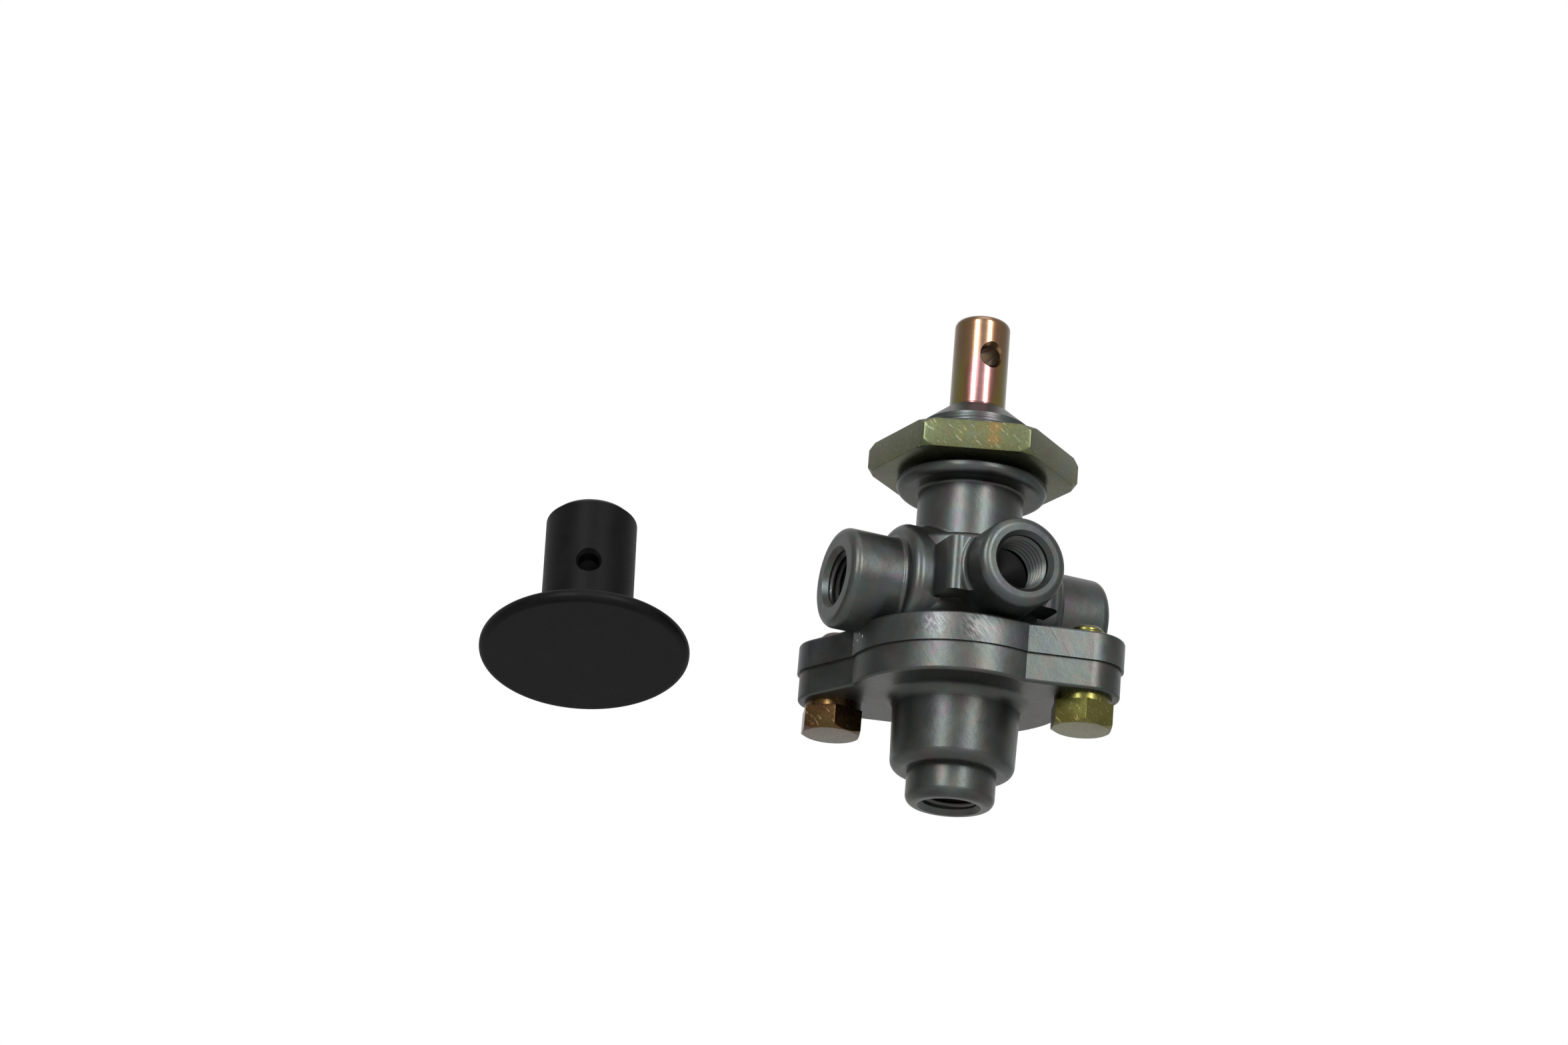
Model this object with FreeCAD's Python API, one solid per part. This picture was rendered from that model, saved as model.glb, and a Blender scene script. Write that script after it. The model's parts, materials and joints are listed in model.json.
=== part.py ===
import FreeCAD, Part
import math
import os

# Air brake dash control valve with its push-pull knob taken off.
# Millimetres. The origin is the centre of the collar face that seats on the dash panel,
# +Z runs along the plunger to its free end, and the three side ports point along -X, -Y and +X.

os.makedirs("parts", exist_ok=True)

# Clearances and fits, and how far a cutting tool reaches past the face it opens
running_gap = 0.06
loose_gap = 0.3
seat_gap = 0.05
ring_gap = 0.04
ring_side_gap = 0.15
cut_past = 1.0

# Plunger
plunger_diameter = 12.7
plunger_exposed = 22.2
plunger_end_round = 1.7
plunger_land_diameter = 13.4
plunger_land_exposed = 0.7
plunger_land_overrun = 2.0
plunger_travel = 7.0
plunger_collar_diameter = 17.4
plunger_collar_thickness = 2.0
stem_diameter = 7.0
stem_thread_diameter = 5.0
pin_hole_diameter = 4.8
pin_hole_sink = 0.8
pin_hole_sink_depth = 1.0
pin_hole_below_end = 9.7

# Neck, panel thread and collar of the body
neck_above_seat = 13.3
dome_height = 4.2
dome_top_diameter = 14.8
panel_thread_diameter = 25.3
collar_diameter = 34.1
collar_thickness = 2.9
collar_upper_round = 0.5
collar_lower_round = 1.9
neck_diameter = 23.8
neck_root_round = 0.7
neck_bore_diameter = 19.2
neck_roof_thickness = 6.6

# Core and flanges
core_diameter = 36.6
shoulder_top_depth = 16.5
shoulder_drop = 1.2
shoulder_round = 1.6
hub_diameter = 29.8
hub_reach = 18.6
hub_rim_round = 2.4
hub_root_round = 1.3
flange_top_depth = 38.2
body_flange_thickness = 6.6
cover_flange_thickness = 6.6
flange_diameter = 49.6
flange_edge_round = 0.7
core_flare = 4.8
flange_turn = -42.0
screw_circle_diameter = 58.0
ear_radius = 8.6
lug_root_half_width = 14.4
cover_trim = 0.6
guide_bore_diameter = 24.2
guide_shoulder_depth = 16.0

# Side ports
port_depth = 28.4
front_port_lift = 1.2
port_reach = 31.5
side_boss_diameter = 22.6
front_boss_diameter = 20.3
boss_rim_round = 2.0
boss_root_round = 1.0
front_root_round = 1.2
front_pad_width = 27.0
front_pad_height = 12.2
front_pad_reach = 22.5
front_pad_round = 2.6
port_bore_diameter = 12.2
port_bore_length = 12.0
port_sink_diameter = 14.0
port_sink_depth = 1.2
passage_diameter = 8.0
slant_passage_diameter = 4.8

# Lower cover
cover_boss_top_diameter = 28.5
cover_boss_end_diameter = 27.5
cover_boss_depth = 68.2
cover_boss_round = 2.6
cover_flare = 2.6
outlet_boss_diameter = 19.8
outlet_boss_length = 7.3
outlet_boss_round = 2.2
exhaust_bore_diameter = 10.8
exhaust_seat_diameter = 13.4
exhaust_seat_height = 1.2
spigot_bore_diameter = 20.4
slot_width = 8.0
slot_below_seat = 1.5
seal_groove_wall = 0.5
seal_groove_width = 2.2
seal_groove_depth = 1.9

# Cap screws, lock washers and panel nut
screw_diameter = 7.9
screw_head_flats = 12.7
screw_head_height = 5.4
screw_tip_length = 3.0
screw_tip_chamfer = 0.8
screw_hole_clearance = 0.35
head_face_inset = 0.2
head_chamfer_slope = 0.7
lock_washer_diameter = 12.6
lock_washer_thickness = 1.7
lock_washer_split = 1.2
lock_washer_split_bearing = 130.0
left_head_turn = 43.0
right_head_turn = 41.0
nut_flats = 41.3
nut_thickness = 6.7
nut_above_seat = 1.1
nut_turn = 7.5
nut_chamfer_drop = 1.3
nut_face_diameter = 45.2

# Guide, spring, valve disc and seals
guide_collar_length = 6.2
guide_waist_diameter = 19.0
guide_waist_bore = 16.0
guide_lower_collar_length = 4.2
guide_window_diameter = 6.0
inlet_seat_depth = 36.0
inlet_bore_diameter = 12.0
inlet_seat_diameter = 14.6
inlet_seat_height = 0.6
inlet_seat_bevel = 0.3
ring_section = 1.8
spring_wire = 1.6
spring_turns = 7
spring_mean_diameter = 15.8
spring_washer_thickness = 1.0
disc_diameter = 16.6
disc_thickness = 4.0
upper_washer_diameter = 10.2
lower_washer_diameter = 9.6
valve_washer_thickness = 0.8
lock_nut_flats = 8.0
lock_nut_height = 4.0
stem_tip = 0.8

# Knob, lying beside the valve as it was taken off
knob_diameter = 46.8
knob_head_thickness = 3.2
knob_head_round = 1.5
knob_stem_diameter = 20.6
knob_length = 36.3
knob_stem_chamfer = 1.3
knob_root_round = 1.2
knob_bore_depth = 25.5
knob_bore_clearance = 0.05
knob_pin_hole_height = 19.0
knob_place = (-77.92, 28.86, -48.65)
knob_lean = 15.1
knob_lean_bearing = 81.2
knob_pin_bearing = -110.0

# Levels along Z worked out from the sizes above
collar_bottom = -collar_thickness
dome_base = neck_above_seat
dome_top = neck_above_seat + dome_height
plunger_end = dome_top + plunger_exposed
neck_roof = dome_top - neck_roof_thickness
shoulder_top = -shoulder_top_depth
flange_top = -flange_top_depth
seam = flange_top - body_flange_thickness
cover_bottom = seam - cover_flange_thickness
guide_top = -guide_shoulder_depth
guide_bottom = -inlet_seat_depth
boss_end = -cover_boss_depth
outlet_end = boss_end - outlet_boss_length
port_level = -port_depth
front_port_level = port_level + front_port_lift
spring_low = guide_top + spring_washer_thickness
collar_top = neck_roof - seat_gap
spring_high = collar_top - plunger_collar_thickness
disc_top = guide_bottom - inlet_seat_height - seat_gap
stem_shoulder = disc_top + valve_washer_thickness
disc_bottom = disc_top - disc_thickness
lock_nut_top = disc_bottom - valve_washer_thickness
lock_nut_bottom = lock_nut_top - lock_nut_height
exhaust_seat_top = disc_bottom - plunger_travel - seat_gap
cavity_bottom = exhaust_seat_top - exhaust_seat_height

V = FreeCAD.Vector
ORIGIN = V(0, 0, 0)
X_AXIS = V(1, 0, 0)
Z_AXIS = V(0, 0, 1)
FORWARD = V(0, -1, 0)


def cylinder(diameter, low, high, centre=(0, 0)):
    """Upright cylinder between two levels."""
    return Part.makeCylinder(diameter / 2, high - low, V(centre[0], centre[1], low))


def ring(inner_diameter, outer_diameter, low, high):
    """Flat ring between two levels."""
    return cylinder(outer_diameter, low, high).cut(cylinder(inner_diameter, low, high))


def turned(points):
    """Solid of revolution about Z from (radius, level) points."""
    wire = Part.makePolygon([V(r, 0, z) for r, z in points + points[:1]])
    return Part.Face(wire).revolve(ORIGIN, Z_AXIS, 360)


def torus(inner_diameter, section, level):
    """Ring seal whose inside just meets a given diameter."""
    return Part.makeTorus(inner_diameter / 2 + section / 2, section / 2, V(0, 0, level), Z_AXIS)


def hexagon(flats, low, high, turn):
    """Upright hexagonal prism. One flat faces the direction of turn."""
    corner = flats / 2 / math.cos(math.pi / 6)
    angles = [math.radians(turn + 30 + 60 * k) for k in range(7)]
    wire = Part.makePolygon([V(corner * math.cos(a), corner * math.sin(a), low) for a in angles])
    return Part.Face(wire).extrude(V(0, 0, high - low))


def circle_edges(shape, diameter, level, axis):
    """Edges that are circles or arcs of this diameter, centred at this level along an axis."""
    found = []
    for edge in shape.Edges:
        curve = edge.Curve
        if not isinstance(curve, Part.Circle):
            continue
        if abs(curve.Center.dot(axis) - level) < 1e-4 and abs(curve.Radius * 2 - diameter) < 1e-4:
            found.append(edge)
    return found


def rounded(shape, size, *circles, axis=Z_AXIS):
    """Round the circular edges given as (diameter, level) pairs along an axis."""
    edges = []
    for diameter, level in circles:
        edges += circle_edges(shape, diameter, level, axis)
    return shape.makeFillet(size, edges)


def turned_about_z(shape, degrees):
    """Copy of a shape turned about the Z axis."""
    copy = shape.copy()
    copy.rotate(ORIGIN, Z_AXIS, degrees)
    return copy


def save(name, shape):
    """Write one finished piece."""
    clean = shape.removeSplitter()
    if len(clean.Solids) == 1:
        clean = clean.Solids[0]
    clean.exportStep("parts/" + name + ".step")


def screw_centres():
    """Centres of the right and left cap screws."""
    angle = math.radians(flange_turn)
    radius = screw_circle_diameter / 2
    right = (radius * math.cos(angle), radius * math.sin(angle))
    return right, (-right[0], -right[1])


def flange_plate(low, high, trim):
    """Round plate with two tapered lugs that end in ears around the screws."""
    middle = flange_diameter / 2 - trim
    ear = ear_radius - trim
    half = lug_root_half_width - trim
    root = math.sqrt(middle ** 2 - half ** 2)
    reach = screw_circle_diameter / 2
    away = math.hypot(root - reach, half)
    bearing = math.atan2(half, root - reach) - math.acos(ear / away)
    touch = (reach + ear * math.cos(bearing), ear * math.sin(bearing))
    plate = cylinder(2 * middle, low, high)
    for turn in (flange_turn, flange_turn + 180):
        corners = [(root, half), touch, (touch[0], -touch[1]), (root, -half), (root, half)]
        lug = Part.Face(Part.makePolygon([V(x, y, low) for x, y in corners]))
        lug = lug.extrude(V(0, 0, high - low))
        lug = lug.fuse(cylinder(2 * ear, low, high, (reach, 0)))
        plate = plate.fuse(turned_about_z(lug, turn))
    return plate.removeSplitter()


def rim_edges(plate, level):
    """Outline edges of a flat plate at one level."""
    return [e for e in plate.Edges if abs(e.BoundBox.ZMin - level) < 1e-4 and e.BoundBox.ZLength < 1e-4]


def root_edges(shape, radius, low, high):
    """Edges between two levels that lie round a cylinder of this radius about Z, where a form leaves it."""
    found = []
    for edge in shape.Edges:
        points = edge.discretize(9)
        on_wall = all(abs(math.hypot(p.x, p.y) - radius) < 1e-3 for p in points)
        straight = isinstance(edge.Curve, Part.Line)
        inside = edge.BoundBox.ZMin > low and edge.BoundBox.ZMax < high
        if on_wall and inside and not straight:
            found.append(edge)
    return found


def flare(inner_diameter, size, level, side):
    """Concave collar that blends a cylinder into a flat plate. side is 1 above the plate, -1 below."""
    radius = inner_diameter / 2
    start = V(radius, 0, level + side * size)
    end = V(radius + size, 0, level)
    bend = size * (1 - math.sqrt(0.5))
    middle = V(radius + bend, 0, level + side * bend)
    edges = [
        Part.Arc(start, middle, end).toShape(),
        Part.makeLine(end, V(0, 0, level)),
        Part.makeLine(V(0, 0, level), V(0, 0, level + side * size)),
        Part.makeLine(V(0, 0, level + side * size), start),
    ]
    return Part.Face(Part.Wire(edges)).revolve(ORIGIN, Z_AXIS, 360)


def outward(shape, bearing, level):
    """Place a shape built upright so that its +Z points outward along a bearing."""
    copy = shape.copy()
    copy.rotate(ORIGIN, V(0, 1, 0), 90)
    copy.rotate(ORIGIN, Z_AXIS, bearing)
    copy.translate(V(0, 0, level))
    return copy


def hub():
    """Level drum along the side ports' line, wider than their bosses, with rounded rims."""
    drum = rounded(cylinder(hub_diameter, -hub_reach, hub_reach), hub_rim_round,
                   (hub_diameter, -hub_reach), (hub_diameter, hub_reach))
    return outward(drum, 0, port_level)


def front_pad():
    """Raised pad on the core behind the front boss, with its upright edges rounded."""
    low = front_port_level - front_pad_height / 2
    pad = Part.makeBox(front_pad_width, front_pad_reach, front_pad_height,
                       V(-front_pad_width / 2, -front_pad_reach, low))
    edges = [e for e in pad.Edges if e.BoundBox.ZLength > 1 and e.BoundBox.YMax < -1]
    return pad.makeFillet(front_pad_round, edges)


def port_boss(diameter):
    """Upright boss from the axis to the port face, with a rounded rim."""
    return rounded(cylinder(diameter, 0, port_reach), boss_rim_round, (diameter, port_reach))


def port_cutter():
    """Upright tool for a tapped bore with a countersunk mouth."""
    bore_r = port_bore_diameter / 2
    sink_r = port_sink_diameter / 2
    inner = port_reach - port_bore_length
    return turned([
        (0, inner - bore_r / 2),
        (bore_r, inner),
        (bore_r, port_reach - port_sink_depth),
        (sink_r, port_reach),
        (sink_r, port_reach + cut_past),
        (0, port_reach + cut_past),
    ])


def pin_hole_cutter(diameter):
    """Upright tool for a cross hole through a rod of this diameter, countersunk at both mouths."""
    r = diameter / 2
    hole_r = pin_hole_diameter / 2
    sink_r = hole_r + pin_hole_sink
    return turned([
        (0, -r - cut_past),
        (sink_r, -r - cut_past),
        (sink_r, -r),
        (hole_r, -r + pin_hole_sink_depth),
        (hole_r, r - pin_hole_sink_depth),
        (sink_r, r),
        (sink_r, r + cut_past),
        (0, r + cut_past),
    ])


def slant_passage():
    """Upright-frame tool from the bottom of a side bore down to the chamber under the guide."""
    start = V(core_diameter / 2, 0, port_level - port_bore_diameter / 8)
    end = V(spigot_bore_diameter / 2, 0, (guide_bottom + seam) / 2)
    run = end - start
    return Part.makeCylinder(slant_passage_diameter / 2, run.Length, start, run)


def valve_body():
    """Die-cast body: dome, threaded neck, seating collar, core, three port bosses and flange."""
    neck_r = neck_diameter / 2
    core_r = core_diameter / 2
    collar_r = collar_diameter / 2
    shape = turned([
        (0, dome_top),
        (dome_top_diameter / 2, dome_top),
        (panel_thread_diameter / 2, dome_base),
        (panel_thread_diameter / 2, 0),
        (collar_r, 0),
        (collar_r, collar_bottom),
        (neck_r, collar_bottom),
        (neck_r, shoulder_top),
        (core_r, shoulder_top - shoulder_drop),
        (core_r, seam),
        (0, seam),
    ])
    shape = rounded(shape, collar_upper_round, (collar_diameter, 0))
    shape = rounded(shape, collar_lower_round, (collar_diameter, collar_bottom))
    shape = rounded(shape, neck_root_round, (neck_diameter, collar_bottom))
    shape = rounded(shape, shoulder_round, (core_diameter, shoulder_top - shoulder_drop))
    shape = shape.fuse(hub()).removeSplitter()
    roots = root_edges(shape, neck_r, port_level, collar_bottom - neck_root_round)
    shape = shape.makeFillet(hub_root_round, roots)
    side = port_boss(side_boss_diameter)
    shape = shape.fuse([outward(side, bearing, port_level) for bearing in (180, 0)]).removeSplitter()
    shape = rounded(shape, boss_root_round, (side_boss_diameter, -hub_reach), (side_boss_diameter, hub_reach),
                    axis=X_AXIS)
    front = outward(port_boss(front_boss_diameter), -90, front_port_level)
    shape = shape.fuse([front_pad(), front]).removeSplitter()
    shape = rounded(shape, front_root_round, (front_boss_diameter, front_pad_reach), axis=FORWARD)
    shape = shape.fuse(flare(core_diameter, core_flare, flange_top, 1))
    plate = flange_plate(seam, flange_top, 0)
    plate = plate.makeFillet(flange_edge_round, rim_edges(plate, flange_top))
    shape = shape.fuse(plate).removeSplitter()
    # Central bores
    shape = shape.cut(cylinder(plunger_land_diameter + 2 * running_gap, 0, dome_top + cut_past))
    shape = shape.cut(cylinder(neck_bore_diameter, guide_top - cut_past, neck_roof))
    shape = shape.cut(cylinder(guide_bore_diameter, seam - cut_past, guide_top))
    # Side ports and their passages
    for bearing, level in ((180, port_level), (0, port_level), (-90, front_port_level)):
        shape = shape.cut(outward(port_cutter(), bearing, level))
    inner = port_reach - port_bore_length + cut_past
    passage = cylinder(passage_diameter, guide_waist_diameter / 2, inner)
    shape = shape.cut(outward(passage, 180, port_level))
    for bearing in (0, -90):
        shape = shape.cut(turned_about_z(slant_passage(), bearing))
    # Tapped holes for the cap screws
    for centre in screw_centres():
        hole = cylinder(screw_diameter + 2 * seat_gap, seam - cut_past, flange_top + cut_past, centre)
        shape = shape.cut(hole)
    return shape


def lower_cover():
    """Die-cast cover: flange, round boss, outlet boss and the slotted spigot that holds the guide."""
    plate = flange_plate(cover_bottom, seam, cover_trim)
    plate = plate.makeFillet(flange_edge_round, rim_edges(plate, cover_bottom))
    boss = turned([
        (0, cover_bottom),
        (cover_boss_top_diameter / 2, cover_bottom),
        (cover_boss_end_diameter / 2, boss_end),
        (0, boss_end),
    ])
    boss = rounded(boss, cover_boss_round, (cover_boss_end_diameter, boss_end))
    outlet = rounded(cylinder(outlet_boss_diameter, outlet_end, boss_end + cover_boss_round),
                     outlet_boss_round, (outlet_boss_diameter, outlet_end))
    shape = plate.fuse(boss).fuse(outlet)
    shape = shape.fuse(flare(cover_boss_top_diameter, cover_flare, cover_bottom, -1))
    spigot = guide_bore_diameter - 2 * seat_gap
    shape = shape.fuse(cylinder(spigot, seam, guide_bottom - seat_gap))
    # Valve chamber, exhaust seat and exhaust bore
    shape = shape.cut(cylinder(spigot_bore_diameter, cavity_bottom, guide_bottom + cut_past))
    shape = shape.fuse(cylinder(exhaust_seat_diameter, cavity_bottom, exhaust_seat_top))
    shape = shape.cut(cylinder(exhaust_bore_diameter, outlet_end, exhaust_seat_top + cut_past))
    mouth = port_cutter()
    mouth.rotate(ORIGIN, X_AXIS, 180)
    mouth.translate(V(0, 0, outlet_end + port_reach))
    shape = shape.cut(mouth)
    # Slots that let the delivery air out towards the front and right ports
    slot_high = guide_bottom - slot_below_seat
    for bearing in (0, -90):
        slot = Part.makeBox(spigot, slot_width, slot_high - seam, V(0, -slot_width / 2, seam))
        shape = shape.cut(turned_about_z(slot, bearing))
    inner = spigot + 2 * seal_groove_wall
    shape = shape.cut(ring(inner, inner + 2 * seal_groove_width, seam - seal_groove_depth, seam))
    for centre in screw_centres():
        bore = screw_diameter + 2 * screw_hole_clearance
        shape = shape.cut(cylinder(bore, cover_bottom - cut_past, seam + cut_past, centre))
    return shape


def cover_seal_ring():
    """Rubber ring between the cover and the body, in the cover's groove."""
    inner = guide_bore_diameter - 2 * seat_gap + 2 * seal_groove_wall + 2 * ring_gap
    return torus(inner, ring_section, seam - ring_section / 2 - ring_gap)


def plunger():
    """Turned plunger: free end with a pin hole, sliding land, spring collar, stem and threaded tip."""
    r = plunger_diameter / 2
    land_r = plunger_land_diameter / 2
    collar_r = plunger_collar_diameter / 2
    stem_r = stem_diameter / 2
    tip_r = stem_thread_diameter / 2
    land_top = dome_top + plunger_land_exposed
    land_end = guide_top - guide_collar_length - plunger_land_overrun
    tip_end = lock_nut_bottom - stem_tip
    shape = turned([
        (0, plunger_end),
        (r, plunger_end),
        (r, land_top),
        (land_r, land_top - (land_r - r)),
        (land_r, collar_top),
        (collar_r, collar_top),
        (collar_r, spring_high),
        (land_r, spring_high),
        (land_r, land_end + land_r - stem_r),
        (stem_r, land_end),
        (stem_r, stem_shoulder),
        (tip_r, stem_shoulder),
        (tip_r, tip_end),
        (0, tip_end),
    ])
    shape = rounded(shape, plunger_end_round, (plunger_diameter, plunger_end))
    cutter = pin_hole_cutter(plunger_diameter)
    cutter.rotate(ORIGIN, X_AXIS, 90)
    cutter.translate(V(0, 0, plunger_end - pin_hole_below_end))
    return shape.cut(cutter)


def plunger_guide():
    """Turned guide: plunger bearing above, windowed waist, inlet seat below."""
    outer = guide_bore_diameter / 2 - seat_gap
    waist_r = guide_waist_diameter / 2
    inner_r = guide_waist_bore / 2
    bearing_r = plunger_land_diameter / 2 + running_gap
    inlet_r = inlet_bore_diameter / 2
    upper_end = guide_top - guide_collar_length
    lower_start = guide_bottom + guide_lower_collar_length
    shape = turned([
        (bearing_r, guide_top),
        (outer, guide_top),
        (outer, upper_end),
        (waist_r, upper_end),
        (waist_r, lower_start),
        (outer, lower_start),
        (outer, guide_bottom),
        (inlet_seat_diameter / 2, guide_bottom),
        (inlet_seat_diameter / 2 - inlet_seat_bevel, guide_bottom - inlet_seat_height),
        (inlet_r, guide_bottom - inlet_seat_height),
        (inlet_r, lower_start),
        (inner_r, lower_start),
        (inner_r, upper_end),
        (bearing_r, upper_end),
    ])
    window = cylinder(guide_window_diameter, -guide_bore_diameter, guide_bore_diameter)
    for bearing in (0, 90):
        shape = shape.cut(outward(window, bearing, (upper_end + lower_start) / 2))
    # Grooves for the ring seals
    groove = ring_section + 2 * ring_side_gap
    inner_groove = plunger_land_diameter + 2 * (ring_section + 2 * ring_gap)
    outer_groove = 2 * outer - 2 * ring_section
    middle = (guide_top + upper_end) / 2
    shape = shape.cut(ring(plunger_land_diameter, inner_groove, middle - groove / 2, middle + groove / 2))
    for level in (middle, (lower_start + guide_bottom) / 2):
        shape = shape.cut(ring(outer_groove, 2 * outer + cut_past, level - groove / 2, level + groove / 2))
    return shape


def guide_rings():
    """Upper and lower ring seals on the outside of the guide."""
    seat = guide_bore_diameter - 2 * seat_gap - 2 * ring_section + 2 * ring_gap
    upper = guide_top - guide_collar_length / 2
    lower = guide_bottom + guide_lower_collar_length / 2
    return torus(seat, ring_section, upper), torus(seat, ring_section, lower)


def plunger_spring():
    """Return spring with its ends ground flat, between the guide washer and the plunger collar."""
    low = spring_low
    high = spring_high - seat_gap
    radius = spring_mean_diameter / 2
    height = high - low
    path = Part.makeHelix(height / spring_turns, height, radius)
    profile = Part.Wire(Part.makeCircle(spring_wire / 2, V(radius, 0, 0), V(0, 1, 0)))
    coil = Part.Wire(path.Edges).makePipeShell([profile], True, True)
    coil.translate(V(0, 0, low))
    return coil.common(cylinder(2 * spring_mean_diameter, low, high))


def panel_nut():
    """Large thin hexagon nut with both faces chamfered to a circle."""
    low = nut_above_seat
    high = low + nut_thickness
    corner = nut_flats / 2 / math.cos(math.pi / 6)
    face_r = nut_face_diameter / 2
    envelope = turned([
        (0, low),
        (face_r, low),
        (corner, low + nut_chamfer_drop),
        (corner, high - nut_chamfer_drop),
        (face_r, high),
        (0, high),
    ])
    shape = hexagon(nut_flats, low, high, nut_turn).common(envelope)
    return shape.cut(cylinder(panel_thread_diameter + 2 * seat_gap, low - cut_past, high + cut_past))


def cap_screw(centre, head_turn):
    """Hexagon head screw that hangs under the cover and comes out above the body flange."""
    washer_low = cover_bottom - lock_washer_thickness
    head_low = washer_low - screw_head_height
    tip = flange_top + screw_tip_length
    flat_r = screw_head_flats / 2
    corner = flat_r / math.cos(math.pi / 6)
    drop = (corner - flat_r) * head_chamfer_slope
    shoulder = [
        (0, head_low),
        (flat_r - head_face_inset, head_low),
        (corner, head_low + drop),
        (corner, washer_low),
        (0, washer_low),
    ]
    head = hexagon(screw_head_flats, head_low, washer_low, head_turn).common(turned(shoulder))
    r = screw_diameter / 2
    shank = turned([
        (0, washer_low),
        (r, washer_low),
        (r, tip - screw_tip_chamfer),
        (r - screw_tip_chamfer, tip),
        (0, tip),
    ])
    shape = head.fuse(shank)
    shape.translate(V(centre[0], centre[1], 0))
    return shape


def lock_washer(centre):
    """Split spring washer under a screw head."""
    low = cover_bottom - lock_washer_thickness
    shape = ring(screw_diameter + 2 * screw_hole_clearance, lock_washer_diameter, low, cover_bottom)
    split = Part.makeBox(lock_washer_diameter, lock_washer_split, lock_washer_thickness,
                         V(0, -lock_washer_split / 2, low))
    split.rotate(ORIGIN, Z_AXIS, lock_washer_split_bearing)
    shape = shape.cut(split)
    shape.translate(V(centre[0], centre[1], 0))
    return shape


def knob():
    """Mushroom knob: round head, stem, blind bore for the plunger and a cross hole for its pin."""
    shape = turned([
        (0, 0),
        (knob_diameter / 2, 0),
        (knob_diameter / 2, knob_head_thickness),
        (knob_stem_diameter / 2, knob_head_thickness),
        (knob_stem_diameter / 2, knob_length - knob_stem_chamfer),
        (knob_stem_diameter / 2 - knob_stem_chamfer, knob_length),
        (0, knob_length),
    ])
    shape = rounded(shape, knob_head_round, (knob_diameter, 0), (knob_diameter, knob_head_thickness))
    shape = rounded(shape, knob_root_round, (knob_stem_diameter, knob_head_thickness))
    bore = plunger_diameter + 2 * knob_bore_clearance
    shape = shape.cut(cylinder(bore, knob_length - knob_bore_depth, knob_length + cut_past))
    cutter = pin_hole_cutter(knob_stem_diameter)
    shape = shape.cut(outward(cutter, knob_pin_bearing, knob_pin_hole_height))
    bearing = math.radians(knob_lean_bearing)
    tilt_axis = V(-math.sin(bearing), math.cos(bearing), 0)
    shape.rotate(ORIGIN, tilt_axis, knob_lean)
    shape.translate(V(*knob_place))
    return shape


def build():
    """Make and write every piece."""
    right, left = screw_centres()
    upper_ring, lower_ring = guide_rings()
    stem_bore = stem_thread_diameter + 2 * seat_gap
    save("valve_body", valve_body())
    save("lower_cover", lower_cover())
    save("cover_seal_ring", cover_seal_ring())
    save("plunger", plunger())
    save("plunger_guide", plunger_guide())
    around_plunger = plunger_land_diameter + 2 * ring_gap
    save("plunger_o_ring", torus(around_plunger, ring_section, guide_top - guide_collar_length / 2))
    save("guide_upper_o_ring", upper_ring)
    save("guide_lower_o_ring", lower_ring)
    save("plunger_spring", plunger_spring())
    washer_bore = plunger_land_diameter + 2 * loose_gap
    save("spring_washer", ring(washer_bore, neck_bore_diameter - 2 * loose_gap, guide_top, spring_low))
    save("inlet_exhaust_valve", ring(stem_bore, disc_diameter, disc_bottom, disc_top))
    save("valve_upper_washer", ring(stem_bore, upper_washer_diameter, disc_top, stem_shoulder))
    save("valve_lower_washer", ring(stem_bore, lower_washer_diameter, lock_nut_top, disc_bottom))
    nut = hexagon(lock_nut_flats, lock_nut_bottom, lock_nut_top, 0)
    nut_bore = cylinder(stem_bore, lock_nut_bottom - cut_past, lock_nut_top + cut_past)
    save("plunger_lock_nut", nut.cut(nut_bore))
    save("panel_nut", panel_nut())
    save("right_cap_screw", cap_screw(right, right_head_turn))
    save("left_cap_screw", cap_screw(left, left_head_turn))
    save("right_lock_washer", lock_washer(right))
    save("left_lock_washer", lock_washer(left))
    save("knob", knob())


build()
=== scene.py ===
import bmesh
import bpy
import json
import math
from mathutils import Matrix, Vector


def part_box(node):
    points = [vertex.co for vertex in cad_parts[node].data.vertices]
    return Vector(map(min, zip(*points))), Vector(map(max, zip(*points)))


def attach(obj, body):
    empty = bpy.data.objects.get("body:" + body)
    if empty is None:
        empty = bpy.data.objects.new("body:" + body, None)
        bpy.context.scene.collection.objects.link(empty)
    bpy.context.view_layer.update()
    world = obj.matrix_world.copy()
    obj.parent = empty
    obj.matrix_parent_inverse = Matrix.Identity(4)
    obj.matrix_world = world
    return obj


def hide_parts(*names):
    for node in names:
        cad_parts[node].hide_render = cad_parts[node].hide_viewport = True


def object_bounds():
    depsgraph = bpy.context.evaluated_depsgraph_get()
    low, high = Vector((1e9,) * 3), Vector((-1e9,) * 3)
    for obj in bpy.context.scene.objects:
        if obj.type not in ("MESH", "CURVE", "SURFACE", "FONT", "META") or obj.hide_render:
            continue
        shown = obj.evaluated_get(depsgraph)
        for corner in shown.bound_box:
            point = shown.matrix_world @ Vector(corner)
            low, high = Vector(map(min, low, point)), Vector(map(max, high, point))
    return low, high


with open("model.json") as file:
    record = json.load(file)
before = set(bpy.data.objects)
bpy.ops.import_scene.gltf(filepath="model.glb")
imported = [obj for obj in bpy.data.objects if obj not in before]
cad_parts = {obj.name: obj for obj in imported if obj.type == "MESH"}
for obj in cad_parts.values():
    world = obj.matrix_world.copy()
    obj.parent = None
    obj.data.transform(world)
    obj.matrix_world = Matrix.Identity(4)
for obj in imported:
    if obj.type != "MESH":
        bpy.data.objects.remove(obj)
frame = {"nodes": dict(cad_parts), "record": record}
cad_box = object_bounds()

# Air brake dash control valve with its knob taken off. Metres, in the frame of the solids.
MM = 0.001
nodes = frame["nodes"]

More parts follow.
